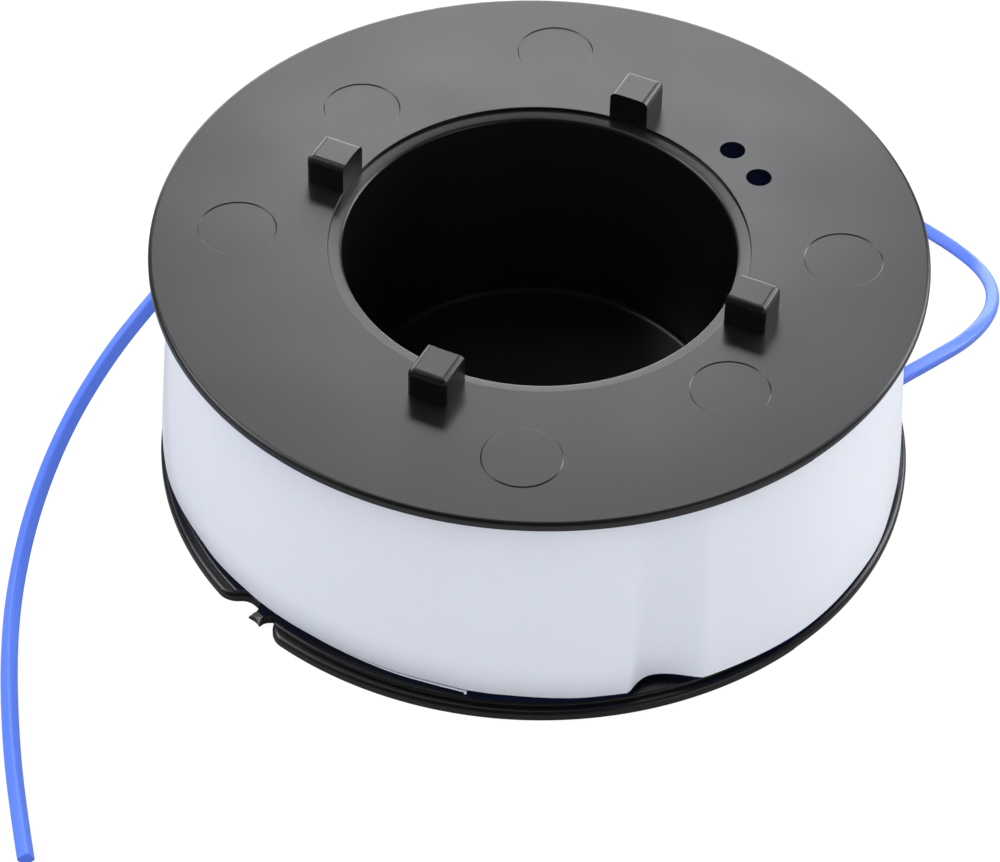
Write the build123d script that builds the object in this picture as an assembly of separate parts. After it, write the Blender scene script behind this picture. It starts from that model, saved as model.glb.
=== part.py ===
# Line spool for a garden trimmer: a one-piece moulded spool, its wound line and the band that holds it.
# Millimetres. +Z runs up the spool's axis; the origin is the centre of the underside it stands on.
# Azimuths are in degrees, counted anticlockwise from +X seen from above.
import os
from math import atan2, cos, degrees, hypot, pi, radians, sin, sqrt, tan

from build123d import *

os.makedirs("parts", exist_ok=True)

# Flanges
spool_height = 33.8          # underside to the top face, without the lugs
top_flange_r = 47.5
top_rim_t = 1.2              # at the rim; the underside is drafted
top_root_t = 3.2             # at the hub
top_rim_fillet = 0.25
bottom_flange_r = 47.3
bottom_rim_t = 1.3           # the low ledge round the seat
bottom_seat_t = 1.9          # the seat under the line, at its edge
bottom_root_t = 2.3          # the seat at the hub
seat_r = 46.3
seat_chamfer = 0.3
bottom_rim_fillet = 0.8
underside_chamfer = 0.2

# Hub
bore_r = 24.0
hub_wall = 2.0
floor_t = 1.6
floor_drop = 29.8            # top face down to the floor of the bore
mouth_fillet = 0.35
floor_fillet = 0.8
root_chamfer = 0.8           # where the flanges meet the hub
recess_wall = 2.2            # plastic left round the recess under the floor
recess_chamfer = 0.5
mouth_ring_w = 1.7           # shallow step round the mouth of the bore
mouth_ring_depth = 0.6

# Drive lugs on the top face
lug_count = 4
lug_first_azimuth = -22.5
lug_radial = 5.0
lug_width = 5.1
lug_height = 3.9
lug_top_fillet = 0.6

# Marks that the ejector pins leave on the top face
pin_mark_r = 4.7
pin_mark_depth = 0.1
outer_mark_ring_r = 36.9
inner_mark_ring_r = 33.5
outer_mark_azimuths = (0, 90, 180)
inner_mark_azimuths = (-45, 135)
proud_mark_azimuth = -90

# Pair of anchor holes for the inner ends of the line
anchor_hole_r = 1.6
anchor_ring_r = 29.9
anchor_azimuth = 34.3
anchor_pitch = 6.0

# Line parking slots in the bottom rim
slot_azimuths = (-134.3, 45.7)
slot_mouth_w = 8.3           # between the walls where they would cut the rim
slot_floor_w = 5.0
slot_depth = 2.35
slot_mouth_round = 2.8
slot_floor_round = 2.1
slot_seat_step = 0.25        # the seat stands back from the slot by this much
prong_offset = 0.95          # from the middle of the slot
prong_root_w = 2.7
prong_tip_w = 1.9
prong_waist_w = 1.3
prong_scallop = 0.35
prong_setback = 0.25         # tips stand this far inside the rim
prong_tip_t = 0.3            # the prong's height runs down to this at its tips

# Step that the split side cores of the mould leave in the top rim
parting_azimuth = -45
parting_step = 0.15
parting_band = 0.4

# Line
line_side = 1.65             # square section
line_d = round(2 * line_side / pi**0.5, 2)   # round section of the same area
turn_count = 17
turn_groove_depth = 0.35
winding_clearance = 0.3      # to the flanges and to the hub
exit_clearance = 0.2         # round the line where it leaves the turns
trim_margin = 0.02           # keeps the form that hollows the turns clear of their crests

# Retaining band
band_t = 0.3
band_low_z = 3.0
band_low_r = 46.9            # outside
band_high_r = 45.4
band_top_gap = 1.2           # to the top flange's rim
band_clearance = 0.2         # to the outer turns
lap_start = -124.0
lap_end = -97.5
lap_drop = 0.45              # the inner ply shows this much below the outer one
dent_azimuth = -68.5
dent_half_angle = 8.0
dent_low_depth = 2.7
dent_high_depth = 0.6
band_hole_clearance = 0.6

# Routes of the two free ends: out of the turns, down, and along the surface the spool stands on
rest_z = line_d / 2 + 0.02
left_route = [
    (-43.4, 4.6, 25.2),
    (-47.3, -3.2, 24.6),
    (-52.2, -9.6, 20.6),
    (-57.2, -15.6, 13.2),
    (-60.7, -22.6, 5.6),
    (-61.8, -32.0, rest_z),
    (-60.9, -42.4, rest_z),
    (-59.2, -53.0, rest_z),
    (-57.0, -63.5, rest_z),
    (-54.3, -73.6, rest_z),
]
right_route = [
    (42.8, 0.0, 12.3),
    (49.3, 5.9, 12.1),
    (55.0, 13.3, 9.8),
    (58.8, 22.8, 6.6),
    (58.9, 32.6, 3.0),
    (54.6, 40.6, rest_z),
    (46.2, 47.2, rest_z),
    (36.4, 51.2, rest_z),
    (26.0, 52.4, rest_z),
    (17.0, 51.4, rest_z),
]

# Worked-out heights and radii
top_rim_z = spool_height - top_rim_t
top_root_z = spool_height - top_root_t
hub_r = bore_r + hub_wall
recess_r = bore_r - recess_wall
floor_z = spool_height - floor_drop
floor_under_z = floor_z - floor_t
mouth_ring_r = bore_r + mouth_ring_w
mouth_ring_z = spool_height - mouth_ring_depth
band_high_z = top_rim_z - band_top_gap


def polar(radius, azimuth, z=0.0):
    angle = radians(azimuth)
    return (radius * cos(angle), radius * sin(angle), z)


def at_corners(face, corners):
    """The vertices of a section in the XZ plane that lie at the given corners."""
    return [v for v in face.vertices() if any(hypot(v.X - r, v.Z - z) < 0.01 for r, z in corners)]


def section_face(points):
    """A flat face in the XZ plane from (radius, height) points."""
    return make_face(Polyline([(r, 0, z) for r, z in points], close=True))


def spool_turned_form():
    """Top flange, cup-shaped hub and the seat of the bottom flange, as one turned section."""
    seat_edge = (seat_r, bottom_seat_t)
    bottom_root = (hub_r, bottom_root_t)
    top_root = (hub_r, top_root_z)
    top_rim_low = (top_flange_r, top_rim_z)
    top_rim_high = (top_flange_r, spool_height)
    mouth = (bore_r, mouth_ring_z)
    bore_floor = (bore_r, floor_z)
    recess_top = (recess_r, floor_under_z)
    recess_foot = (recess_r, 0)
    face = section_face([
        (0, floor_under_z),
        recess_top,
        recess_foot,
        (hub_r, 0),
        (hub_r, bottom_rim_t / 2),
        (seat_r, bottom_rim_t / 2),
        seat_edge,
        bottom_root,
        top_root,
        top_rim_low,
        top_rim_high,
        (mouth_ring_r, spool_height),
        (mouth_ring_r, mouth_ring_z),
        mouth,
        bore_floor,
        (0, floor_z),
    ])
    face = chamfer(at_corners(face, [bottom_root, top_root]), root_chamfer)
    face = chamfer(at_corners(face, [recess_foot]), underside_chamfer)
    face = chamfer(at_corners(face, [recess_top]), recess_chamfer)
    face = chamfer(at_corners(face, [seat_edge]), seat_chamfer)
    face = fillet(at_corners(face, [top_rim_low, top_rim_high]), top_rim_fillet)
    face = fillet(at_corners(face, [mouth]), mouth_fillet)
    face = fillet(at_corners(face, [bore_floor]), floor_fillet)
    return revolve(face, Axis.Z)


def drive_lug():
    """One lug, with its inner face on the circle of the mouth ring."""
    overrun = 1.0
    sink = mouth_ring_depth / 2
    length = lug_radial + overrun
    block = Pos(mouth_ring_r - overrun + length / 2, 0, spool_height + (lug_height - sink) / 2) * Box(
        length, lug_width, lug_height + sink
    )
    top = block.faces().sort_by(Axis.Z)[-1]
    inner_edge = top.edges().sort_by(Axis.X)[0]
    rounded = [e for e in top.edges() if e.center() != inner_edge.center()]
    block = fillet(rounded, lug_top_fillet)
    return block - Cylinder(mouth_ring_r, 3 * spool_height)


def slot_outline():
    """Plan of a parking slot at azimuth 0: a flat floor and slanting walls, rounded where they meet the rim."""
    foot = Vector(bottom_flange_r - slot_depth, slot_floor_w / 2)
    corner = Vector(sqrt(bottom_flange_r**2 - (slot_mouth_w / 2) ** 2), slot_mouth_w / 2)
    way = (corner - foot).normalized()
    inward = Vector(-way.Y, way.X)
    reach = bottom_flange_r - slot_mouth_round
    near = foot + inward * slot_mouth_round
    along = sqrt(near.dot(way) ** 2 - near.dot(near) + reach**2) - near.dot(way)
    centre = near + way * along
    on_wall = centre - inward * slot_mouth_round
    on_rim = centre * (bottom_flange_r / reach)
    beyond = centre * ((bottom_flange_r + slot_depth) / reach)
    middle = centre + (on_wall + on_rim - centre * 2).normalized() * slot_mouth_round

    def other(point):
        return (point.X, -point.Y)

    outline = make_face([
        Line(other(foot), foot),
        Line(foot, on_wall),
        ThreePointArc(on_wall, middle, on_rim),
        Line(on_rim, beyond),
        Line(beyond, other(beyond)),
        Line(other(beyond), other(on_rim)),
        ThreePointArc(other(on_rim), other(middle), other(on_wall)),
        Line(other(on_wall), other(foot)),
    ])
    feet = [v for v in outline.vertices() if abs(v.X - foot.X) < 0.01]
    return fillet(feet, slot_floor_round)


def bottom_ledge():
    """The thin outer part of the bottom flange, rounded all along its rim and its slots."""
    plan = Circle(bottom_flange_r) - Circle(bore_r)
    for azimuth in slot_azimuths:
        plan -= Rot(Z=azimuth) * slot_outline()
    ledge = extrude(plan, bottom_rim_t)
    top = ledge.faces().filter_by(Axis.Z).sort_by(Axis.Z)[-1]
    ledge = fillet(top.outer_wire().edges(), bottom_rim_fillet)
    underside = ledge.faces().filter_by(Axis.Z).sort_by(Axis.Z)[0]
    return chamfer(underside.outer_wire().edges(), underside_chamfer)


def slot_prong():
    """The star-shaped prong that grips the parked line, drawn at azimuth 0 and thinned towards its tips."""
    floor_x = bottom_flange_r - slot_depth
    sunk_x = floor_x - bottom_rim_fillet
    tip_x = bottom_flange_r - prong_setback
    middle_x = (floor_x + tip_x) / 2
    right = (tip_x, prong_tip_w / 2)
    left = (tip_x, -prong_tip_w / 2)
    right_root = (floor_x, prong_root_w / 2)
    left_root = (floor_x, -prong_root_w / 2)
    star = make_face([
        ThreePointArc(right_root, (middle_x, prong_waist_w / 2), right),
        ThreePointArc(right, (tip_x - prong_scallop, 0), left),
        ThreePointArc(left, (middle_x, -prong_waist_w / 2), left_root),
        Line(left_root, (sunk_x, -prong_root_w / 2)),
        Line((sunk_x, -prong_root_w / 2), (sunk_x, prong_root_w / 2)),
        Line((sunk_x, prong_root_w / 2), right_root),
    ])
    side = section_face([
        (sunk_x, 0),
        (middle_x, 0),
        (tip_x, (bottom_rim_t - prong_tip_t) / 2),
        (tip_x, (bottom_rim_t + prong_tip_t) / 2),
        (middle_x, bottom_rim_t),
        (sunk_x, bottom_rim_t),
    ])
    return Pos(0, prong_offset, 0) * (extrude(star, bottom_rim_t) & extrude(side, prong_root_w, both=True))


def parting_cutter():
    """Half a turn of a shallow rebate along the lower edge of the top rim."""
    inner_r = top_flange_r - parting_step
    outer_r = top_flange_r + parting_band
    low_z = top_rim_z - parting_band
    high_z = top_rim_z + parting_band
    section = section_face([(inner_r, low_z), (outer_r, low_z), (outer_r, high_z), (inner_r, high_z)])
    return Rot(Z=parting_azimuth) * revolve(section, Axis.Z, 180)


def make_spool_body():
    mark = Cylinder(pin_mark_r, 2 * pin_mark_depth)
    anchor_hole = Cylinder(anchor_hole_r, 4 * top_root_t)
    anchor_half_angle = degrees(atan2(anchor_pitch / 2, anchor_ring_r))
    cuts = [parting_cutter()]
    for azimuth in outer_mark_azimuths:
        cuts.append(Pos(*polar(outer_mark_ring_r, azimuth, spool_height)) * mark)
    for azimuth in inner_mark_azimuths:
        cuts.append(Pos(*polar(inner_mark_ring_r, azimuth, spool_height)) * mark)
    for azimuth in (anchor_azimuth - anchor_half_angle, anchor_azimuth + anchor_half_angle):
        cuts.append(Pos(*polar(anchor_ring_r, azimuth, spool_height)) * anchor_hole)
    added = [Pos(*polar(outer_mark_ring_r, proud_mark_azimuth, spool_height)) * mark]
    added.append(bottom_ledge())
    for azimuth in slot_azimuths:
        seat_cutter = extrude(offset(slot_outline(), slot_seat_step), bottom_root_t)
        cuts.append(Rot(Z=azimuth) * seat_cutter)
        added.append(Rot(Z=azimuth) * slot_prong())
    for i in range(lug_count):
        added.append(Rot(Z=lug_first_azimuth + i * 360 / lug_count) * drive_lug())
    return spool_turned_form() - cuts + added


def band_radius(z):
    """Outside radius of the band, which tapers in towards the top."""
    share = (z - band_low_z) / (band_high_z - band_low_z)
    return band_low_r + share * (band_high_r - band_low_r)


def dent_depth(z):
    share = (z - band_low_z) / (band_high_z - band_low_z)
    return dent_low_depth + share * (dent_high_depth - dent_low_depth)


def band_outline(inset, z):
    """Plan of the band at one height: a circle with the dent's smooth hollow in it."""
    radius = band_radius(z) - inset
    depth = dent_depth(z)
    start = dent_azimuth - dent_half_angle
    steps = 8
    hollow = []
    for i in range(steps + 1):
        share = i / steps
        sunk = depth * sin(pi * share) ** 2
        hollow.append(polar(radius - sunk, start + share * 2 * dent_half_angle, z))
    start_angle = radians(start)
    end_angle = radians(start + 2 * dent_half_angle)
    tangents = [
        (-sin(start_angle), cos(start_angle), 0),
        (-sin(end_angle), cos(end_angle), 0),
    ]
    far_side = polar(radius, dent_azimuth + 180, z)
    return make_face([
        Spline(hollow, tangents=tangents),
        ThreePointArc(hollow[-1], far_side, hollow[0]),
    ])


def band_form(inset, low_z, high_z):
    """Solid form inside the band's outer face, set in by some amount."""
    return loft([band_outline(inset, low_z), band_outline(inset, high_z)], ruled=True)


def exit_channel(route, radius):
    """Straight round channel along the first run of a route."""
    start = Vector(*route[0])
    way = (Vector(*route[1]) - start).normalized()
    length = 3 * line_side + (Vector(*route[1]) - start).length
    base = Plane(origin=start, z_dir=way)
    return base * Pos(0, 0, length / 2) * Cylinder(radius, length)


def make_band():
    shell = band_form(0, band_low_z, band_high_z)
    shell -= band_form(band_t, band_low_z - 1, band_high_z + 1)
    low_z = band_low_z - lap_drop
    lap_section = section_face([
        (band_radius(low_z) - 2 * band_t, low_z),
        (band_radius(low_z) - band_t, low_z),
        (band_radius(band_high_z) - band_t, band_high_z),
        (band_radius(band_high_z) - 2 * band_t, band_high_z),
    ])
    shell += Rot(Z=lap_start) * revolve(lap_section, Axis.Z, lap_end - lap_start)
    for route in (left_route, right_route):
        shell -= exit_channel(route, line_d / 2 + band_hole_clearance)
    return shell


def make_winding():
    """The pack of turns as one solid, with a ridge for each turn of the outer layer."""
    inner_r = hub_r + winding_clearance
    low_z = bottom_seat_t + winding_clearance
    high_z = top_rim_z - 2 * winding_clearance
    pitch = (high_z - low_z) / turn_count
    set_in = 2 * band_t + band_clearance
    outline = [
        (inner_r, top_root_z - root_chamfer - winding_clearance),
        (inner_r, bottom_root_t + root_chamfer + winding_clearance),
        (inner_r + root_chamfer, bottom_root_t + winding_clearance),
    ]
    for i in range(turn_count):
        groove_z = low_z + i * pitch
        crest_z = groove_z + pitch / 2
        outline.append((band_radius(groove_z) - set_in - turn_groove_depth, groove_z))
        outline.append((band_radius(crest_z) - set_in, crest_z))
    outline.append((band_radius(high_z) - set_in - turn_groove_depth, high_z))
    outline.append((inner_r + root_chamfer, top_root_z - winding_clearance))
    winding = revolve(section_face(outline), Axis.Z)
    winding = winding & band_form(set_in - trim_margin, 0, spool_height)
    for route in (left_route, right_route):
        winding -= exit_channel(route, line_d / 2 + exit_clearance)
    return winding


def make_tail(name, route):
    """Round tube along straight runs joined by arcs as large as the runs allow."""
    points = [Vector(*p) for p in route]
    runs = [points[i + 1] - points[i] for i in range(len(points) - 1)]
    radii = []
    for before, after in zip(runs, runs[1:]):
        half_turn = radians(before.get_angle(after)) / 2
        radii.append(0.45 * min(before.length, after.length) / tan(half_turn))
    path = FilletPolyline(*points, radius=radii)
    tube = sweep(Plane(origin=points[0], z_dir=runs[0]) * Circle(line_d / 2), path=path)
    expected = pi * line_d**2 / 4 * path.length
    print(name, "length", round(path.length, 1), "least radius", round(min(radii), 1))
    print(name, "volume", round(tube.volume, 2), "section times length", round(expected, 2))
    return tube


parts = {
    "spool_body": make_spool_body(),
    "line_winding": make_winding(),
    "retaining_band": make_band(),
    "line_tail_left": make_tail("line_tail_left", left_route),
    "line_tail_right": make_tail("line_tail_right", right_route),
}

for name, part in parts.items():
    export_step(part, os.path.join("parts", name + ".step"))
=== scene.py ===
# Looks for the trimmer line spool. Metres, in the part's own frame: +Z up the spool's axis, floor at z = 0.
# Azimuths are in degrees, counted anticlockwise from +X seen from above. Sizes given in capitals are
# millimetres, and MM turns them into metres where a mesh is made.
import math

import bmesh
import bpy
from mathutils import Matrix, Vector


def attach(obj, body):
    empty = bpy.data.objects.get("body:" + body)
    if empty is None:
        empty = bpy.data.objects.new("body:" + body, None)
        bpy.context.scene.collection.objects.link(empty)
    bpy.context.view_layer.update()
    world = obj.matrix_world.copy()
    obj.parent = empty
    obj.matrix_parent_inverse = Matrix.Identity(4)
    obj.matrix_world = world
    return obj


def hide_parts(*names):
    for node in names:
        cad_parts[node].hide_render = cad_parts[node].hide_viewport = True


MM = 0.001

# Camera: a long lens looking down on the spool
VIEW_AZIMUTH = 2.7           # turned this much about +Z from a look along +Y
VIEW_ELEVATION = 44.588
VIEW_ROLL = -1.2006
LENS = 147.806
SENSOR_WIDTH = 36.0
AIM_HEIGHT = 33.8            # the centre of the top face
CAMERA_RIGHT = -4.339        # camera from that point, along its own axes
CAMERA_UP = -22.825
CAMERA_BACK = 498.75
NEAR_LIMIT = 0.01            # what the camera sees starts and ends here, in metres
FAR_LIMIT = 50.0

# Moulded spool
TOP_R = 47.5
TOP_Z = 33.8
TOP_RIM_Z = 32.6
TOP_ROOT_Z = 30.6
TOP_RIM_ROUND = 0.5
TOP_RIM_LOW_ROUND = 0.2
TOP_LEVEL_INSET = 1.0        # a ring of points inside the rim keeps the top face's shading level,
LUG_RING_GAP = 0.3           # and so does one just outside the lugs
HUB_R = 26.0
BORE_R = 24.0
FLOOR_Z = 4.0
FLOOR_T = 1.6
FLOOR_ROUND = 0.8
RECESS_R = 21.8
MOUTH_R = 25.7
MOUTH_Z = 33.2
MOUTH_SLOPE = 0.18           # the ring's outer edge stands this much higher
MOUTH_ROUND = 0.45
EDGE_ROUND = 0.08            # of edges that look sharp
ROOT_ROUND = 0.8
SEAT_R = 46.3
SEAT_Z = 1.9
SEAT_ROOT_Z = 2.3
SEAT_ROUND = 0.3
SEAT_EDGE_W = 1.2            # nearly level part of the seat, along its edge
SEAT_EDGE_RISE = 0.02
LEDGE_R = 47.3
LEDGE_Z = 1.3
LEDGE_ROUND = 0.55
LEDGE_FOOT_ROUND = 0.2
LEDGE_FOOT_FLAT = 0.8        # level parts of its section, counted from the rim
LEDGE_TOP_FLAT = 0.66
LEDGE_INNER_R = 25.0         # inside the hub's foot
LUG_AZIMUTHS = (-112.5, -22.5, 67.5, 157.5)
LUG_RADIAL = 5.0
LUG_WIDTH = 5.1
LUG_HEIGHT = 3.9
LUG_TOP_ROUND = 0.8
LUG_SIDE_ROUND = 0.6
LUG_LEAST_ROUND = 0.02
LUG_ROUND_STEPS = 8
LUG_INNER_STEPS = 10
LUG_FOOT_SUNK = 0.4          # the lug's foot inside the flange
LUG_BACK = 1.0               # the plan's start behind the lug's inner face
PIN_MARK_R = 4.7
PIN_MARK_DEPTH = 0.1
PIN_MARK_SLOPE = 0.14        # how far the edge of a mark runs out over its depth
PIN_MARK_STEPS = 128
SUNK_MARKS = ((36.9, 0), (36.9, 90), (36.9, 180), (33.5, -45), (33.5, 135))
PROUD_MARK = (36.9, -90)
HOLE_R = 1.6
HOLE_RING_R = 30.05
HOLE_LOW_Z = 26.0            # well below the flange
HOLE_AZIMUTHS = (28.6, 40.0)
SLOT_AZIMUTHS = (-134.3, 45.7)
SLOT_MOUTH_W = 8.3
SLOT_FLOOR_W = 5.0
SLOT_DEPTH = 2.35
SLOT_MOUTH_ROUND = 2.8
SLOT_FLOOR_ROUND = 2.1
SLOT_SEAT_STEP = 0.25
SLOT_ROUND_STEPS = 12
PRONG_OFFSET = 0.95
PRONG_ROOT_W = 2.7
PRONG_TIP_W = 1.9
PRONG_WAIST_W = 1.3
PRONG_SCALLOP = 0.35
PRONG_SETBACK = 0.25
PRONG_TIP_T = 0.3
PRONG_THIN_RUN = 0.6         # the part that thins towards the tips
PRONG_STEPS = 20             # along each side and over the tips
WELD_DISTANCE = 0.002        # joins the prong's two halves
PARTING_AZIMUTH = -45
PARTING_STEP = 0.15
PARTING_BAND = 0.4
TURN_STEPS = 384             # facets round the turned forms
ROD_STEPS = 64
CUT_PAST = 1.0               # how far a cutting form stands past what it cuts

# Shading: edges sharper than these angles, in degrees, stay sharp
CRISP_ANGLE = 32
SOFT_ANGLE = 50
LEVEL_NORMAL = 0.99999
LUG_SIDE_AREA = 6.0          # faces above this area, in square millimetres, are the lugs' sides
LUG_SIDE_LOW = 0.5           # where their middle stands at least this far above the top face

# Band
BAND_LOW_Z = 3.0
BAND_HIGH_Z = 31.4
BAND_TAPERS = (              # (azimuth, how much smaller in radius the top is)
    (-180, 2.0),
    (-90, 1.9),
    (0, 1.6),
    (180, 2.0),
)
BAND_CURLS = (               # (azimuth, how far the lower edge is drawn in)
    (-180, 0.1),
    (-140, 0.8),
    (-115, 1.1),
    (-80, 1.1),
    (-55, 0.15),
    (180, 0.1),
)
BAND_CURL_HEIGHT = 5.5
BAND_T = 0.22
BAND_STEPS = 720
BAND_ROWS = 40
BAND_SEAM = 1e-4             # degrees from the end of the lap to the columns next to it
BAND_LOW_RADII = (           # (azimuth, outside radius at the lower edge): it isn't quite round
    (-180, 47.1),
    (-166, 46.9),
    (-147, 46.05),
    (-135, 45.7),
    (-117, 45.35),
    (-105, 45.5),
    (-92, 46.0),
    (-78, 46.5),
    (-60, 47.15),
    (-44, 47.4),
    (-26, 47.05),
    (-10, 46.4),
    (0, 46.2),
    (30, 46.9),
    (150, 46.9),
    (180, 47.1),
)
DENT_AZIMUTH = -68.4
DENT_LEFT = (4.5, 1.1)       # (half-width in degrees, how softly it runs out)
DENT_RIGHT = (7.0, 1.3)
DENT_LOW_DEPTH = 2.3
DENT_HIGH_DEPTH = 0.6
LAP_START = -124.0
LAP_END = -97.05
LAP_SWELL = 0.07             # of the outer ply over the end of the inner one
LAP_SWELL_WIDTH = 1.1
LAP_STEPS = 60
LIP_LOW_Z = 2.42             # edge of the inner ply, which hangs lower
LIP_HIGH_Z = 2.56
LIP_SET_IN = 0.08            # at its end
LIP_START_SET_IN = 0.35      # at its start, so that it comes out by degrees
LIP_END_LOW_Z = 2.15         # its last corner hangs lower still
LIP_END_WIDTH = 0.4          # degrees
LIP_END_PAST = 0.1           # degrees past the end of the lap
LIP_END_STEPS = 4
LIP_END_DROP = 0.01          # keeps its faces off those of the lip
LIP_END_EXTRA_T = 0.02

# Winding
TURN_COUNT = 17
TURN_ROWS = 6                # rows of faces over each turn
TURN_FULLNESS = 0.7          # below 1 the crests are broad
WINDING_STEPS = 480
WINDING_LOW_Z = 2.0
WINDING_HIGH_Z = 32.0
WINDING_SET_IN = 0.7         # crests inside the band's outer face
WINDING_DENT_SET_IN = 1.5    # more behind the dent
WINDING_LOW_OUT = (          # (azimuth, how much further out the lowest turn stands)
    (-180, 0.5),
    (-155, 0.5),
    (-130, 0.0),
    (-65, 0.0),
    (-45, 0.5),
    (15, 0.5),
    (60, 0.0),
    (150, 0.0),
    (180, 0.5),
)
WINDING_GROOVE = 0.45
WINDING_HUB_GAP = 1.2
WINDING_TOP_GAP = 0.4        # under the root of the top flange
WINDING_FOOT_GAP = 0.3       # above the root of the seat

# Line
LINE_SIDE = 1.65             # square section
LINE_CORNER = 0.32           # radius of its corners
LINE_CORNER_STEPS = 4
LINE_D = 1.86                # round section of the same area
EXIT_CLEARANCE = 0.6         # in the band
CHANNEL_CLEARANCE = 0.2      # in the winding
EXIT_RUN = 14.0
ROUTE_DETAIL = 24            # points between each two of a route
REST_Z = 1.09                # keeps a corner of the turned square off the floor
LEFT_ROUTE = [
    (-43.4, 4.6, 24.5),
    (-47.3, -3.2, 23.9),
    (-52.2, -9.6, 20.2),
    (-57.2, -15.6, 13.2),
    (-60.7, -22.6, 5.6),
    (-61.8, -32.0, REST_Z),
    (-60.9, -42.4, REST_Z),
    (-59.2, -53.0, REST_Z),
    (-57.0, -63.5, REST_Z),
    (-54.3, -73.6, REST_Z),
]
RIGHT_ROUTE = [
    (42.8, 0.0, 12.3),
    (49.3, 5.9, 12.1),
    (55.0, 13.3, 9.8),
    (58.4, 22.7, 6.6),
    (58.3, 32.3, 3.0),
    (54.2, 40.0, REST_Z),
    (46.1, 46.5, REST_Z),
    (36.4, 50.6, REST_Z),
    (26.0, 52.4, REST_Z),
    (17.0, 51.4, REST_Z),
]
LEFT_TWISTS = [(0, 30), (0.5, 38), (1, 72)]      # (share of the length, degrees)
RIGHT_TWISTS = [(0, 25), (0.3, 25), (0.6, 3), (1, 0)]

# Stage: distances and sizes in metres
FLOOR_REACH = 3.0
WORLD_LIGHT = 1.22
WORLD_IN_GLOSS = 0.02
WHITE = (1, 1, 1)
LAMPS = (                    # (name, azimuth, elevation, distance, size, brightness, colour)
    ("back_low", 92.5, 30, 0.6, (0.20, 0.10), 1.9, (0.99, 0.995, 1.02)),
    ("back_mid", 92.5, 41, 0.6, (0.20, 0.10), 6.6, (0.98, 0.99, 1.03)),
    ("back_strip", 98, 16, 0.8, (0.8, 0.18), 5.0, WHITE),
    ("back_edge", 98, 7, 0.8, (0.8, 0.06), 11.0, WHITE),
    ("top_box", 108, 72, 0.6, (0.16, 0.16), 2.0, WHITE),
    ("mouth_wide", 158, 48, 0.65, (0.28, 0.24), 5.5, WHITE),
    ("left_box", 184, 32, 0.75, (0.3, 0.34), 2.2, WHITE),
    ("edge_wide", 64, 46, 0.65, (0.3, 0.12), 0.8, WHITE),
    ("edge_box", 44, 42, 0.7, (0.18, 0.18), 7.5, (0.93, 0.98, 1.1)),
    ("right_box", 30, 20, 0.75, (0.44, 0.26), 6.6, (1.03, 1.01, 0.95)),
    ("right_fill", -42, 20, 0.9, (0.5, 0.5), 0.85, WHITE),
)

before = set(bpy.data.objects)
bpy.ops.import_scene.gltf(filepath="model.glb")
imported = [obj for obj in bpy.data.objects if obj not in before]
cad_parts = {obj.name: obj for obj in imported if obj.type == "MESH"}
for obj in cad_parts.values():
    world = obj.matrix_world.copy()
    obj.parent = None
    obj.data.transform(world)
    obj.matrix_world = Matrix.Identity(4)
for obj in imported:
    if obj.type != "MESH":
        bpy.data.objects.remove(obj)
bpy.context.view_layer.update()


def polar(radius, azimuth, z=0.0):
    angle = math.radians(azimuth)
    return Vector((radius * math.cos(angle), radius * math.sin(angle), z))


def wrapped(azimuth):
    """The same azimuth, from -180 up to 180 degrees."""
    return (azimuth + 180) % 360 - 180


def between(pairs, x):
    """Smooth value at x between (place, value) pairs."""
    for (x0, v0), (x1, v1) in zip(pairs, pairs[1:]):
        if x <= x1:
            share = max(0.0, min(1.0, (x - x0) / (x1 - x0)))
            share = share * share * (3 - 2 * share)
            return v0 + share * (v1 - v0)
    return pairs[-1][1]


def new_object(name, data):
    piece = bpy.data.objects.new(name, data)
    bpy.context.scene.collection.objects.link(piece)
    return piece


def mesh_object(name, points, faces):
    """Object from points in millimetres."""
    mesh = bpy.data.meshes.new(name)
    mesh.from_pydata([Vector(p) * MM for p in points], [], faces)
    mesh.update()
    return new_object(name, mesh)


def solid_object(name, points, faces):
    """The same, with all its faces turned outward."""
    piece = mesh_object(name, points, faces)
    outward_faces(piece)
    return piece


def arc_points(centre, start, end, steps):
    """Points from start to end round a centre, the short way, in a plane."""
    first = start - centre
    turn = first.angle_signed(end - centre)
    return [centre + Matrix.Rotation(-turn * i / steps, 2) @ first for i in range(steps + 1)]


def rounded(corners, steps):
    """Open outline through (x, y, radius) corners, with each radius as an arc."""
    points = []
    for i, (x, y, radius) in enumerate(corners):
        corner = Vector((x, y))
        if radius == 0:
            points.append(corner)
            continue
        back = (Vector(corners[i - 1][:2]) - corner).normalized()
        ahead = (Vector(corners[i + 1][:2]) - corner).normalized()
        half = back.angle(ahead) / 2
        reach = radius / math.tan(half)
        centre = corner + (back + ahead).normalized() * radius / math.sin(half)
        points += arc_points(centre, corner + back * reach, corner + ahead * reach, steps)
    return points


def grid_faces(rings, count, closed_rings=False):
    """Quads over rings of count points each; closed_rings joins the last ring to the first."""
    faces = []
    for i in range(rings if closed_rings else rings - 1):
        for j in range(count):
            a = i * count + j
            b = i * count + (j + 1) % count
            c = ((i + 1) % rings) * count + (j + 1) % count
            d = ((i + 1) % rings) * count + j
            faces.append((a, b, c, d))
    return faces


def tube_faces(rings, count):
    """Quads over rings of count points each, with a cap at both ends."""
    faces = grid_faces(rings, count)
    faces.append(tuple(reversed(range(count))))
    faces.append(tuple(range((rings - 1) * count, rings * count)))
    return faces


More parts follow.
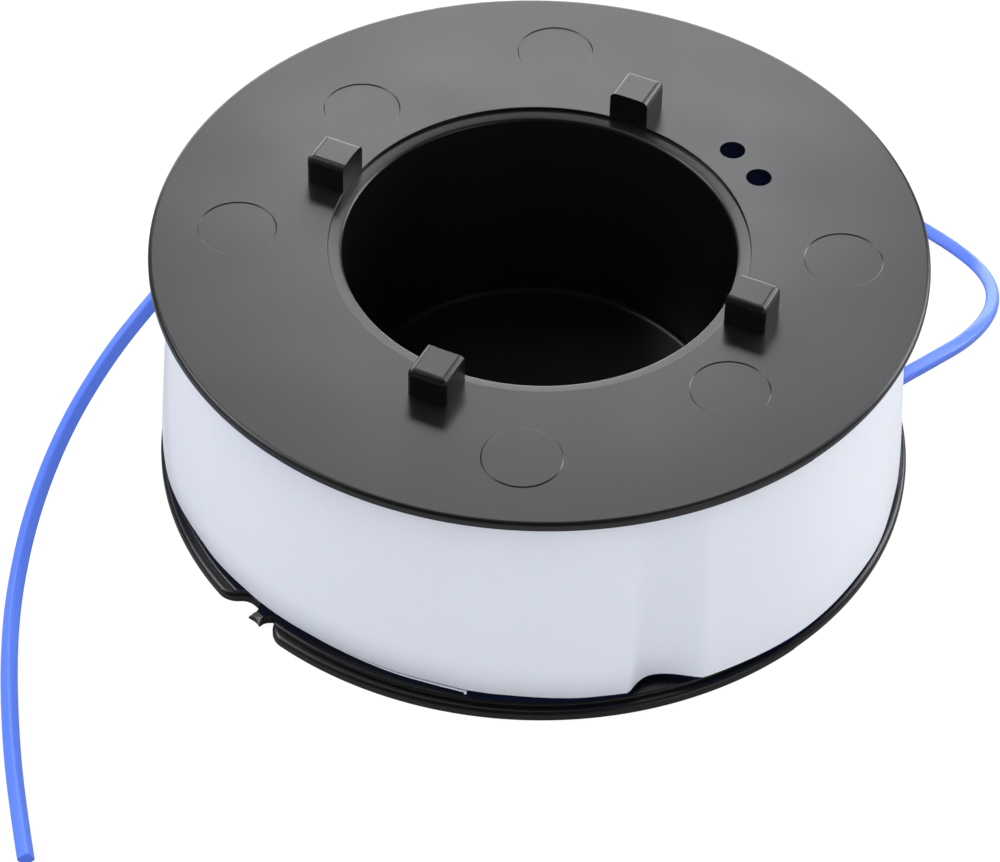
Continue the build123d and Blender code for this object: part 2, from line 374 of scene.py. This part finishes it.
def turned(name, profile):
    """Closed turned form; the profile starts and ends on the axis and runs outward first, underneath."""
    steps = TURN_STEPS
    inner = profile[1:-1]
    points = []
    for radius, z in inner:
        for i in range(steps):
            points.append(polar(radius, 360 * i / steps, z))
    faces = grid_faces(len(inner), steps)
    low = len(points)
    high = low + 1
    points.append((0, 0, profile[0][1]))
    points.append((0, 0, profile[-1][1]))
    last = (len(inner) - 1) * steps
    for i in range(steps):
        j = (i + 1) % steps
        faces.append((low, j, i))
        faces.append((high, last + i, last + j))
    return mesh_object(name, points, faces)


def turned_arc(name, section, start, sweep):
    """Closed section turned over part of a turn, from the azimuth start."""
    points = []
    for i in range(TURN_STEPS + 1):
        for radius, z in section:
            points.append(polar(radius, start + sweep * i / TURN_STEPS, z))
    return solid_object(name, points, tube_faces(TURN_STEPS + 1, len(section)))


def rod(name, radius, start, end, steps=ROD_STEPS, end_radius=None):
    """Plain or tapered rod between two points, used to cut or to stand a mark proud."""
    radii = (radius, end_radius or radius)
    way = (Vector(end) - Vector(start)).normalized()
    side = way.orthogonal().normalized()
    other = way.cross(side)
    points = []
    for place, reach in zip((start, end), radii):
        for i in range(steps):
            angle = 2 * math.pi * i / steps
            points.append(Vector(place) + reach * (side * math.cos(angle) + other * math.sin(angle)))
    return mesh_object(name, points, tube_faces(2, steps))


def prism(name, outline, low_z, high_z):
    """Upright form over a plan."""
    points = [(p.x, p.y, z) for z in (low_z, high_z) for p in outline]
    return solid_object(name, points, tube_faces(2, len(outline)))


def outward_faces(piece):
    work = bmesh.new()
    work.from_mesh(piece.data)
    bmesh.ops.recalc_face_normals(work, faces=work.faces)
    work.to_mesh(piece.data)
    work.free()


def turn_about_axis(piece, azimuth):
    piece.data.transform(Matrix.Rotation(math.radians(azimuth), 4, "Z"))


def joined(pieces):
    """One object out of several."""
    work = bmesh.new()
    for piece in pieces:
        work.from_mesh(piece.data)
    keep = pieces[0]
    work.to_mesh(keep.data)
    work.free()
    for piece in pieces[1:]:
        discard(piece)
    return keep


def discard(piece):
    mesh = piece.data
    bpy.data.objects.remove(piece)
    bpy.data.meshes.remove(mesh)


def cut_or_add(base, tool, operation):
    """Applies one exact boolean to the base and removes the tool."""
    modifier = base.modifiers.new("form", "BOOLEAN")
    modifier.operation = operation
    modifier.solver = "EXACT"
    modifier.object = tool
    bpy.context.view_layer.update()
    mesh = bpy.data.meshes.new_from_object(base.evaluated_get(bpy.context.evaluated_depsgraph_get()))
    base.modifiers.clear()
    old = base.data
    base.data = mesh
    bpy.data.meshes.remove(old)
    discard(tool)


def smooth_shaded(piece, angle):
    """Smooth faces with sharp edges past an angle; level faces and the sides of the lugs stay flat."""
    piece.data.set_sharp_from_angle(angle=math.radians(angle))
    for face in piece.data.polygons:
        level = abs(face.normal.z) > LEVEL_NORMAL
        side = face.center.z > (TOP_Z + LUG_SIDE_LOW) * MM and face.area > LUG_SIDE_AREA * MM**2
        face.use_smooth = not (level or side)


def mirrored(outline):
    """The points on the other side of the x axis, in reverse order."""
    return [Vector((p.x, -p.y)) for p in reversed(outline)]


def slot_plan(grow=0.0):
    """Half of a parking slot's plan at azimuth 0, from the middle of its floor out to the rim."""
    rim = LEDGE_R
    foot = Vector((rim - SLOT_DEPTH - grow, SLOT_FLOOR_W / 2 + grow))
    half_mouth = SLOT_MOUTH_W / 2 + grow
    corner = Vector((math.sqrt(rim**2 - half_mouth**2), half_mouth))
    way = (corner - foot).normalized()
    inward = Vector((-way.y, way.x))
    reach = rim - SLOT_MOUTH_ROUND
    near = foot + inward * SLOT_MOUTH_ROUND
    along = math.sqrt(near.dot(way) ** 2 - near.dot(near) + reach**2) - near.dot(way)
    centre = near + way * along
    on_wall = centre - inward * SLOT_MOUTH_ROUND
    on_rim = centre * (rim / reach)
    floor_end = (foot.x, -foot.y, 0)
    floor_round = rounded([floor_end, (*foot, SLOT_FLOOR_ROUND), (*on_wall, 0)], SLOT_ROUND_STEPS)
    return floor_round[1:-1] + arc_points(centre, on_wall, on_rim, SLOT_ROUND_STEPS)


def slot_outline(grow=0.0):
    """The whole of that plan, from rim to rim."""
    half = slot_plan(grow)
    return mirrored(half) + half


def rim_outline():
    """Plan of the bottom rim with both slots, as (place, way inward) pairs, anticlockwise."""
    slot = slot_outline()
    half_angle = math.degrees(math.atan2(slot[-1].y, slot[-1].x))
    steps = TURN_STEPS // 2
    places = []
    for azimuth in SLOT_AZIMUTHS:
        spin = Matrix.Rotation(math.radians(azimuth), 2)
        places += [spin @ p for p in slot]
        start = azimuth + half_angle
        sweep = 180 - 2 * half_angle
        for i in range(1, steps):
            spot = start + sweep * i / steps
            past_parting = (spot - PARTING_AZIMUTH) % 360 < 180
            radius = LEDGE_R - (PARTING_STEP / 2 if past_parting else 0)
            places.append(polar(radius, spot).to_2d())
    outline = []
    for i, place in enumerate(places):
        run = (places[(i + 1) % len(places)] - places[i - 1]).normalized()
        outline.append((place, Vector((-run.y, run.x))))
    return outline


def bottom_ledge():
    """The thin outer part of the bottom flange, its rounded edge running on round the slots."""
    section = rounded([
        (LEDGE_FOOT_FLAT, 0, 0),
        (0, 0, LEDGE_FOOT_ROUND),
        (0, LEDGE_Z, LEDGE_ROUND),
        (LEDGE_TOP_FLAT, LEDGE_Z, 0),
    ], steps=8)
    outline = rim_outline()
    points = []
    for place, inward in outline:
        for inset, z in section:
            spot = place + inward * inset
            points.append((spot.x, spot.y, z))
        centre = place.normalized() * LEDGE_INNER_R
        points.append((centre.x, centre.y, LEDGE_Z))
        points.append((centre.x, centre.y, 0))
    return solid_object("ledge", points, grid_faces(len(outline), len(section) + 2, closed_rings=True))


def prong():
    """Star-shaped prong at azimuth 0, thinned towards its two tips."""
    floor_x = LEDGE_R - SLOT_DEPTH
    sunk_x = floor_x - LEDGE_ROUND
    tip_x = LEDGE_R - PRONG_SETBACK
    middle = PRONG_STEPS // 2
    side = []
    for i in range(PRONG_STEPS + 1):
        share = i / PRONG_STEPS
        x = floor_x + share * (tip_x - floor_x)
        straight = PRONG_ROOT_W / 2 + share * (PRONG_TIP_W - PRONG_ROOT_W) / 2
        pinch = (PRONG_ROOT_W + PRONG_TIP_W) / 4 - PRONG_WAIST_W / 2
        side.append(Vector((x, straight - pinch * math.sin(math.pi * share))))
    tip = []
    for i in range(1, PRONG_STEPS):
        share = i / PRONG_STEPS
        x = tip_x - PRONG_SCALLOP * math.sin(math.pi * share)
        tip.append(Vector((x, PRONG_TIP_W * (0.5 - share))))
    root_side = [Vector((sunk_x, side[0].y))] + side[:middle + 1]
    root = root_side + mirrored(root_side)
    far_side = side[middle:]
    far = far_side + tip + mirrored(far_side)

    def half_height(x):
        share = max(0.0, 1 - (tip_x - x) / PRONG_THIN_RUN)
        return (LEDGE_Z + share * (PRONG_TIP_T - LEDGE_Z)) / 2

    points = []
    faces = []
    for outline in (root, far):
        first = len(points)
        count = len(outline)
        for side_of_middle in (-1, 1):
            for p in outline:
                z = LEDGE_Z / 2 + side_of_middle * half_height(p.x)
                points.append((p.x, p.y + PRONG_OFFSET, z))
        faces.append(tuple(reversed(range(first, first + count))))
        faces.append(tuple(range(first + count, first + 2 * count)))
        shared = (middle + 1, middle + 2) if outline is root else (count - 1, 0)
        for j in range(count):
            k = (j + 1) % count
            if (j, k) == shared:
                continue
            faces.append((first + j, first + k, first + count + k, first + count + j))
    piece = mesh_object("prong", points, faces)
    work = bmesh.new()
    work.from_mesh(piece.data)
    bmesh.ops.remove_doubles(work, verts=work.verts, dist=WELD_DISTANCE * MM)
    bmesh.ops.recalc_face_normals(work, faces=work.faces)
    work.to_mesh(piece.data)
    work.free()
    return piece


def lug_plan(inset):
    """Plan of a drive lug at azimuth 0, its inner face on the mouth ring, the other three inset."""
    half_width = LUG_WIDTH / 2 - inset
    outer_x = MOUTH_R + LUG_RADIAL - inset
    round_r = max(LUG_SIDE_ROUND - inset, LUG_LEAST_ROUND)
    corners = [
        (MOUTH_R - LUG_BACK, -half_width, 0),
        (outer_x, -half_width, round_r),
        (outer_x, half_width, round_r),
        (MOUTH_R - LUG_BACK, half_width, 0),
    ]
    outline = rounded(corners, steps=5)[1:-1]
    half_angle = math.asin(half_width / MOUTH_R)
    for i in range(LUG_INNER_STEPS + 1):
        angle = half_angle * (1 - 2 * i / LUG_INNER_STEPS)
        outline.append(MOUTH_R * Vector((math.cos(angle), math.sin(angle))))
    return outline


def lug():
    """Drive lug at azimuth 0: three rounded top edges and a crisper inner one."""
    straight_z = TOP_Z + LUG_HEIGHT - LUG_TOP_ROUND
    levels = [(0.0, TOP_Z - LUG_FOOT_SUNK), (0.0, straight_z)]
    for i in range(1, LUG_ROUND_STEPS + 1):
        angle = math.pi / 2 * i / LUG_ROUND_STEPS
        inset = LUG_TOP_ROUND * (1 - math.cos(angle))
        levels.append((inset, straight_z + LUG_TOP_ROUND * math.sin(angle)))
    points = []
    for inset, z in levels:
        points += [(p.x, p.y, z) for p in lug_plan(inset)]
    count = len(points) // len(levels)
    return solid_object("lug", points, tube_faces(len(levels), count))


def pin_mark(name, place, low_radius, high_radius):
    """Tapered disc in the top face at a (ring radius, azimuth), to cut a mark or to stand one proud."""
    spot = polar(*place)
    low = (spot.x, spot.y, TOP_Z - PIN_MARK_DEPTH)
    high = (spot.x, spot.y, TOP_Z + PIN_MARK_DEPTH)
    return rod(name, low_radius, low, high, PIN_MARK_STEPS, high_radius)


def placed(make, azimuths):
    """One form at each azimuth, joined."""
    pieces = []
    for azimuth in azimuths:
        piece = make()
        turn_about_axis(piece, azimuth)
        pieces.append(piece)
    return joined(pieces)


def slot_cutter():
    """Prism at azimuth 0 that opens the seat over a parking slot."""
    plan = slot_outline(SLOT_SEAT_STEP)
    half_mouth = plan[-1].y
    beyond = LEDGE_R + SLOT_DEPTH
    plan += [Vector((beyond, half_mouth)), Vector((beyond, -half_mouth))]
    return prism("slot", plan, -CUT_PAST, 2 * SEAT_Z)


def parting_cutter():
    """Takes the step of the mould's split line off half of the top rim."""
    step_r = TOP_R - PARTING_STEP
    past_r = TOP_R + CUT_PAST
    low_z = TOP_RIM_Z - PARTING_BAND
    high_z = TOP_RIM_Z + PARTING_BAND
    section = [(step_r, low_z), (past_r, low_z), (past_r, high_z), (step_r, high_z)]
    return turned_arc("parting", section, PARTING_AZIMUTH, 180)


def spool_moulding():
    """The whole one-piece spool."""
    under_z = FLOOR_Z - FLOOR_T
    profile = rounded([
        (0, under_z, 0),
        (RECESS_R, under_z, ROOT_ROUND),
        (RECESS_R, 0, LEDGE_FOOT_ROUND),
        (HUB_R, 0, 0),
        (HUB_R, LEDGE_Z / 2, 0),
        (SEAT_R, LEDGE_Z / 2, 0),
        (SEAT_R, SEAT_Z, SEAT_ROUND),
        (SEAT_R - SEAT_EDGE_W, SEAT_Z + SEAT_EDGE_RISE, 0),
        (HUB_R, SEAT_ROOT_Z, ROOT_ROUND),
        (HUB_R, TOP_ROOT_Z, ROOT_ROUND),
        (TOP_R, TOP_RIM_Z, TOP_RIM_LOW_ROUND),
        (TOP_R, TOP_Z, TOP_RIM_ROUND),
        (TOP_R - TOP_LEVEL_INSET, TOP_Z, 0),
        (MOUTH_R + LUG_RADIAL + LUG_RING_GAP, TOP_Z, 0),
        (MOUTH_R + 2 * EDGE_ROUND, TOP_Z, 0),
        (MOUTH_R, TOP_Z, EDGE_ROUND),
        (MOUTH_R, MOUTH_Z + MOUTH_SLOPE, 0),
        (BORE_R, MOUTH_Z, MOUTH_ROUND),
        (BORE_R, FLOOR_Z, FLOOR_ROUND),
        (0, FLOOR_Z, 0),
    ], steps=6)
    body = turned("spool_moulding", [tuple(p) for p in profile])

    mark_foot_r = PIN_MARK_R + 2 * PIN_MARK_SLOPE
    cutters = [pin_mark("mark", place, PIN_MARK_R, mark_foot_r) for place in SUNK_MARKS]
    for azimuth in HOLE_AZIMUTHS:
        low = polar(HOLE_RING_R, azimuth, HOLE_LOW_Z)
        high = polar(HOLE_RING_R, azimuth, TOP_Z + CUT_PAST)
        cutters.append(rod("hole", HOLE_R, low, high))
    cutters += [placed(slot_cutter, SLOT_AZIMUTHS), parting_cutter()]
    cut_or_add(body, joined(cutters), "DIFFERENCE")

    proud_mark = pin_mark("proud_mark", PROUD_MARK, mark_foot_r, PIN_MARK_R)
    cut_or_add(body, joined([proud_mark, placed(lug, LUG_AZIMUTHS)]), "UNION")

    ledge = bottom_ledge()
    cut_or_add(ledge, placed(prong, SLOT_AZIMUTHS), "UNION")
    cut_or_add(body, ledge, "UNION")
    smooth_shaded(body, CRISP_ANGLE)
    return body


def dent_share(azimuth):
    """How far pushed in the band is here, of the dent's full depth."""
    off = wrapped(azimuth - DENT_AZIMUTH)
    half_width, softness = DENT_LEFT if off < 0 else DENT_RIGHT
    return max(0.0, 1 - (off / half_width) ** 2) ** softness


def band_radius(azimuth, z):
    """Outside radius of the band: tapered, a little out of round, with the dent at its lower edge."""
    share = (z - BAND_LOW_Z) / (BAND_HIGH_Z - BAND_LOW_Z)
    azimuth = wrapped(azimuth)
    radius = between(BAND_LOW_RADII, azimuth) - share * between(BAND_TAPERS, azimuth)
    curl_share = min(1.0, max(0.0, (z - BAND_LOW_Z) / BAND_CURL_HEIGHT))
    radius += between(BAND_CURLS, azimuth) * (1 - (1 - curl_share) ** 2)
    depth = DENT_LOW_DEPTH + share * (DENT_HIGH_DEPTH - DENT_LOW_DEPTH)
    radius -= depth * dent_share(azimuth)
    radius += LAP_SWELL * math.exp(-((azimuth - LAP_END) / LAP_SWELL_WIDTH) ** 2)
    return radius


def shell(name, azimuths, rows, radius, thickness, closed):
    """Thin wall over a grid of azimuths and heights, as a closed form."""
    points = []
    for azimuth in azimuths:
        for z in rows:
            points.append(polar(radius(azimuth, z), azimuth, z))
        for z in reversed(rows):
            points.append(polar(radius(azimuth, z) - thickness, azimuth, z))
    count = 2 * len(rows)
    if closed:
        faces = grid_faces(len(azimuths), count, closed_rings=True)
    else:
        faces = tube_faces(len(azimuths), count)
    return solid_object(name, points, faces)


def exit_rods(clearance):
    """Rods along the first stretch of both ends of the line, for the openings that they leave by."""
    rods = []
    for route in (LEFT_ROUTE, RIGHT_ROUTE):
        start = Vector(route[0])
        way = (Vector(route[1]) - start).normalized()
        rods.append(rod("exit", LINE_D / 2 + clearance, start, start + way * EXIT_RUN))
    return joined(rods)


def lip_radius(azimuth, _z):
    """Outside radius of the lip, the same at every height."""
    share = min(1.0, (azimuth - LAP_START) / (LAP_END - LAP_START))
    return band_radius(azimuth, BAND_LOW_Z) - LIP_SET_IN - LIP_START_SET_IN * (1 - share) ** 2


def film_band():
    """The film round the turns, with the lip of its inner ply below the lap."""
    azimuths = [360 * i / BAND_STEPS + LAP_END + BAND_SEAM for i in range(BAND_STEPS)]
    azimuths.append(LAP_END + 360 - BAND_SEAM)
    rows = [BAND_LOW_Z + (BAND_HIGH_Z - BAND_LOW_Z) * i / BAND_ROWS for i in range(BAND_ROWS + 1)]
    wall = shell("film_band", azimuths, rows, band_radius, BAND_T, True)
    lap = [LAP_START + (LAP_END - LAP_START) * i / LAP_STEPS for i in range(LAP_STEPS + 1)]
    lip = shell("lip", lap, [LIP_LOW_Z, LIP_HIGH_Z], lip_radius, BAND_T, False)
    last = LAP_END + LIP_END_PAST
    corner = [last - LIP_END_WIDTH * i / LIP_END_STEPS for i in range(LIP_END_STEPS, -1, -1)]
    corner_rows = [LIP_END_LOW_Z, LIP_HIGH_Z - LIP_END_DROP]
    lip_end = shell("lip_end", corner, corner_rows, lip_radius, BAND_T + LIP_END_EXTRA_T, False)
    band = joined([wall, lip, lip_end])
    cut_or_add(band, exit_rods(EXIT_CLEARANCE), "DIFFERENCE")
    smooth_shaded(band, SOFT_ANGLE)
    return band


def wound_line():
    """The turns of the outer layer over a plain core, pressed in behind the dent."""
    pitch = (WINDING_HIGH_Z - WINDING_LOW_Z) / TURN_COUNT
    rows = []
    for i in range(TURN_COUNT):
        for j in range(TURN_ROWS):
            share = j / TURN_ROWS
            z = WINDING_LOW_Z + (i + share) * pitch
            rows.append((z, WINDING_GROOVE * (1 - math.sin(math.pi * share) ** TURN_FULLNESS)))
    rows.append((WINDING_HIGH_Z, WINDING_GROOVE))
    points = []
    for i in range(WINDING_STEPS):
        azimuth = 360 * i / WINDING_STEPS
        set_in = WINDING_SET_IN + WINDING_DENT_SET_IN * dent_share(azimuth)
        low_out = between(WINDING_LOW_OUT, wrapped(azimuth))
        for z, groove in rows:
            radius = band_radius(azimuth, max(z, BAND_LOW_Z)) - set_in - groove
            if z < BAND_LOW_Z:
                radius += low_out
            points.append(polar(radius, azimuth, z))
        for z in (TOP_ROOT_Z - WINDING_TOP_GAP, SEAT_ROOT_Z + WINDING_FOOT_GAP):
            points.append(polar(HUB_R + WINDING_HUB_GAP, azimuth, z))
    piece = solid_object("wound_line", points, grid_faces(WINDING_STEPS, len(rows) + 2, closed_rings=True))
    cut_or_add(piece, exit_rods(CHANNEL_CLEARANCE), "DIFFERENCE")
    smooth_shaded(piece, SOFT_ANGLE)
    return piece


def way_to_camera():
    """The same for the whole part, because the lens is long."""
    turn = Matrix.Rotation(math.radians(VIEW_AZIMUTH), 3, "Z")
    elevation = math.radians(VIEW_ELEVATION)
    return turn @ Vector((0, -math.cos(elevation), math.sin(elevation)))


def smooth_route(name, route):
    """The route's own NURBS line, as a list of points."""
    data = bpy.data.curves.new(name, "CURVE")
    data.dimensions = "3D"
    data.resolution_u = ROUTE_DETAIL
    spline = data.splines.new("NURBS")
    spline.points.add(len(route) - 1)
    for point, place in zip(spline.points, route):
        point.co = (*(Vector(place) * MM), 1)
    spline.order_u = 3
    spline.use_endpoint_u = True
    guide = new_object(name, data)
    bpy.context.view_layer.update()
    mesh = bpy.data.meshes.new_from_object(guide.evaluated_get(bpy.context.evaluated_depsgraph_get()))
    points = [v.co.copy() for v in mesh.vertices]
    bpy.data.objects.remove(guide)
    bpy.data.meshes.remove(mesh)
    return points


def line_section():
    """Square with round corners, centred, as a list of (across, up) in metres."""
    flat = (LINE_SIDE / 2 - LINE_CORNER) * MM
    section = []
    for corner in range(4):
        middle = math.pi / 4 + corner * math.pi / 2
        centre = Vector((math.copysign(flat, math.cos(middle)), math.copysign(flat, math.sin(middle))))
        for i in range(LINE_CORNER_STEPS + 1):
            angle = middle - math.pi / 4 + i / LINE_CORNER_STEPS * math.pi / 2
            section.append(centre + LINE_CORNER * MM * Vector((math.cos(angle), math.sin(angle))))
    return section


def twisted_line(name, route, twists):
    """Square line swept along its route, turned about itself by the twists given along its length."""
    points = smooth_route(name + "_route", route)
    section = line_section()
    distance = [0.0]
    for a, b in zip(points, points[1:]):
        distance.append(distance[-1] + (b - a).length)
    total = distance[-1]
    sight = way_to_camera()
    swept = []
    for i, point in enumerate(points):
        ahead = points[min(i + 1, len(points) - 1)] - points[max(i - 1, 0)]
        ahead.normalize()
        across = ahead.cross(sight).normalized()
        up = across.cross(ahead)
        angle = math.radians(between(twists, distance[i] / total))
        for p in section:
            swept.append(
                point
                + across * (p.x * math.cos(angle) - p.y * math.sin(angle))
                + up * (p.x * math.sin(angle) + p.y * math.cos(angle))
            )
    mesh = bpy.data.meshes.new(name)
    mesh.from_pydata(swept, [], tube_faces(len(points), len(section)))
    mesh.update()
    piece = new_object(name, mesh)
    outward_faces(piece)
    smooth_shaded(piece, SOFT_ANGLE)
    return piece, points, total


def new_material(name):
    material = bpy.data.materials.new(name)
    material.use_nodes = True
    return material, material.node_tree.nodes, material.node_tree.links


def add_node(nodes, kind, **values):
    node = nodes.new(kind)
    for name, value in values.items():
        node.inputs[name.replace("_", " ")].default_value = value
    return node


def noise_bump(nodes, links, shader, scale, strength, distance, stretch=(1, 1, 1)):
    """Fine relief from noise in the part's own coordinates."""
    place = nodes.new("ShaderNodeTexCoord")
    mapping = add_node(nodes, "ShaderNodeMapping", Scale=stretch)
    noise = add_node(nodes, "ShaderNodeTexNoise", Scale=scale, Detail=3.0)
    bump = add_node(nodes, "ShaderNodeBump", Strength=strength, Distance=distance)
    links.new(place.outputs["Object"], mapping.inputs["Vector"])
    links.new(mapping.outputs["Vector"], noise.inputs["Vector"])
    links.new(noise.outputs["Fac"], bump.inputs["Height"])
    links.new(bump.outputs["Normal"], shader.inputs["Normal"])
    return mapping


def varied(nodes, links, mapping, socket, scale, low, high):
    """Drives a socket between two values with slow noise."""
    noise = add_node(nodes, "ShaderNodeTexNoise", Scale=scale, Detail=2.0)
    ramp = nodes.new("ShaderNodeMapRange")
    ramp.inputs["From Min"].default_value = 0.3
    ramp.inputs["From Max"].default_value = 0.7
    ramp.inputs["To Min"].default_value = low
    ramp.inputs["To Max"].default_value = high
    links.new(mapping.outputs["Vector"], noise.inputs["Vector"])
    links.new(noise.outputs["Fac"], ramp.inputs["Value"])
    links.new(ramp.outputs["Result"], socket)


def moulding_material():
    material, nodes, links = new_material("black_moulding")
    shader = nodes["Principled BSDF"]
    shader.inputs["Base Color"].default_value = (0.0035, 0.0035, 0.0036, 1)
    shader.inputs["IOR"].default_value = 1.6
    mapping = noise_bump(nodes, links, shader, scale=5200, strength=0.12, distance=0.00002)
    varied(nodes, links, mapping, shader.inputs["Roughness"], scale=55, low=0.29, high=0.34)
    return material


def line_material():
    material, nodes, links = new_material("blue_line")
    shader = nodes["Principled BSDF"]
    shader.inputs["Base Color"].default_value = (0.077, 0.172, 0.70, 1)
    shader.inputs["Roughness"].default_value = 0.38
    shader.inputs["Subsurface Weight"].default_value = 0.35
    shader.inputs["Subsurface Radius"].default_value = (0.3, 0.5, 1.0)
    shader.inputs["Subsurface Scale"].default_value = 0.0008
    noise_bump(nodes, links, shader, scale=2600, strength=0.15, distance=0.00004, stretch=(1, 0.35, 1))
    return material


def film_material():
    material, nodes, links = new_material("white_film")
    shader = nodes["Principled BSDF"]
    shader.inputs["Base Color"].default_value = (0.76, 0.775, 0.84, 1)
    shader.inputs["Roughness"].default_value = 0.33
    shader.inputs["Subsurface Weight"].default_value = 0.1
    shader.inputs["Subsurface Scale"].default_value = 0.001
    noise_bump(nodes, links, shader, scale=130, strength=0.12, distance=0.0004, stretch=(1, 1, 0.06))
    return material


def floor_material():
    """Pale floor, seen as white with only a faint shadow."""
    material, nodes, links = new_material("pale_floor")
    nodes.remove(nodes["Principled BSDF"])
    plain = add_node(nodes, "ShaderNodeBsdfDiffuse", Color=(0.28, 0.28, 0.29, 1))
    faint = add_node(nodes, "ShaderNodeBsdfDiffuse", Color=(0.12, 0.12, 0.12, 1))
    glow = add_node(nodes, "ShaderNodeEmission", Color=(1, 1, 1, 1), Strength=0.91)
    path = nodes.new("ShaderNodeLightPath")
    both = nodes.new("ShaderNodeAddShader")
    mix = nodes.new("ShaderNodeMixShader")
    links.new(glow.outputs[0], both.inputs[0])
    links.new(faint.outputs[0], both.inputs[1])
    links.new(path.outputs["Is Camera Ray"], mix.inputs[0])
    links.new(plain.outputs[0], mix.inputs[1])
    links.new(both.outputs[0], mix.inputs[2])
    links.new(mix.outputs[0], nodes["Material Output"].inputs["Surface"])
    return material


def white_world(ambient, in_gloss):
    """White seen directly, softer as light, and dimmer in reflections."""
    world = bpy.data.worlds.new("studio")
    bpy.context.scene.world = world
    world.use_nodes = True
    nodes = world.node_tree.nodes
    links = world.node_tree.links
    seen = nodes["Background"]
    seen.inputs["Color"].default_value = (1, 1, 1, 1)
    seen.inputs["Strength"].default_value = 1.0
    soft = add_node(nodes, "ShaderNodeBackground", Color=(0.97, 0.98, 1.0, 1), Strength=ambient)
    dim = add_node(nodes, "ShaderNodeBackground", Color=(0.97, 0.98, 1.0, 1), Strength=in_gloss)
    light = nodes.new("ShaderNodeMixShader")
    path = nodes.new("ShaderNodeLightPath")
    mix = nodes.new("ShaderNodeMixShader")
    links.new(path.outputs["Is Camera Ray"], mix.inputs[0])
    links.new(path.outputs["Is Glossy Ray"], light.inputs[0])
    links.new(soft.outputs[0], light.inputs[1])
    links.new(dim.outputs[0], light.inputs[2])
    links.new(light.outputs[0], mix.inputs[1])
    links.new(seen.outputs[0], mix.inputs[2])
    links.new(mix.outputs[0], nodes["World Output"].inputs["Surface"])


def area_lamp(name, azimuth, elevation, distance, size, radiance, colour):
    """Rectangular soft lamp with a given brightness, whatever its size, aimed at the spool."""
    aim = Vector((0, 0, AIM_HEIGHT * MM))
    rise = math.radians(elevation)
    place = aim + distance * (polar(math.cos(rise), azimuth) + Vector((0, 0, math.sin(rise))))
    lamp = bpy.data.lights.new(name, "AREA")
    lamp.shape = "RECTANGLE"
    lamp.size, lamp.size_y = size
    lamp.energy = radiance * math.pi * size[0] * size[1]
    lamp.color = colour
    piece = new_object(name, lamp)
    way = (place - aim).normalized()
    piece.matrix_world = Matrix.Translation(place) @ way.to_track_quat("Z", "Y").to_matrix().to_4x4()


def place_camera():
    turn = Matrix.Rotation(math.radians(VIEW_AZIMUTH), 3, "Z")
    elevation = math.radians(VIEW_ELEVATION)
    roll = math.radians(VIEW_ROLL)
    right = turn @ Vector((1, 0, 0))
    up = turn @ Vector((0, math.sin(elevation), math.cos(elevation)))
    back = way_to_camera()
    offset = right * CAMERA_RIGHT + up * CAMERA_UP + back * CAMERA_BACK
    place = (Vector((0, 0, AIM_HEIGHT)) + offset) * MM
    image_right = right * math.cos(roll) - up * math.sin(roll)
    image_up = right * math.sin(roll) + up * math.cos(roll)
    lens = bpy.data.cameras.new("camera")
    lens.lens = LENS
    lens.sensor_width = SENSOR_WIDTH
    lens.clip_start = NEAR_LIMIT
    lens.clip_end = FAR_LIMIT
    camera = new_object("camera", lens)
    axes = Matrix((image_right, image_up, back)).transposed()
    camera.matrix_world = Matrix.Translation(place) @ axes.to_4x4()
    bpy.context.scene.camera = camera


def put_on(piece, node, material):
    """Dresses a piece, rides it on the part and lets it stand for its node."""
    piece.data.materials.clear()
    piece.data.materials.append(material)
    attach(piece, "root")
    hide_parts(node)


place_camera()

blue = line_material()
for node, route, twists in (
    ("line_tail_left", LEFT_ROUTE, LEFT_TWISTS),
    ("line_tail_right", RIGHT_ROUTE, RIGHT_TWISTS),
):
    piece, path, total = twisted_line(node + "_line", route, twists)
    put_on(piece, node, blue)
    print(node, "length", round(total * 1000, 1))

put_on(spool_moulding(), "spool_body", moulding_material())
put_on(film_band(), "retaining_band", film_material())
put_on(wound_line(), "line_winding", blue)

# Stage
floor_corners = [(x * FLOOR_REACH, y * FLOOR_REACH, 0) for x, y in ((-1, -1), (1, -1), (1, 1), (-1, 1))]
floor_mesh = bpy.data.meshes.new("floor")
floor_mesh.from_pydata(floor_corners, [], [(0, 1, 2, 3)])
floor_mesh.materials.append(floor_material())
new_object("floor", floor_mesh)

white_world(WORLD_LIGHT, WORLD_IN_GLOSS)
for lamp in LAMPS:
    area_lamp(*lamp)

bpy.context.scene.view_settings.view_transform = "Standard"
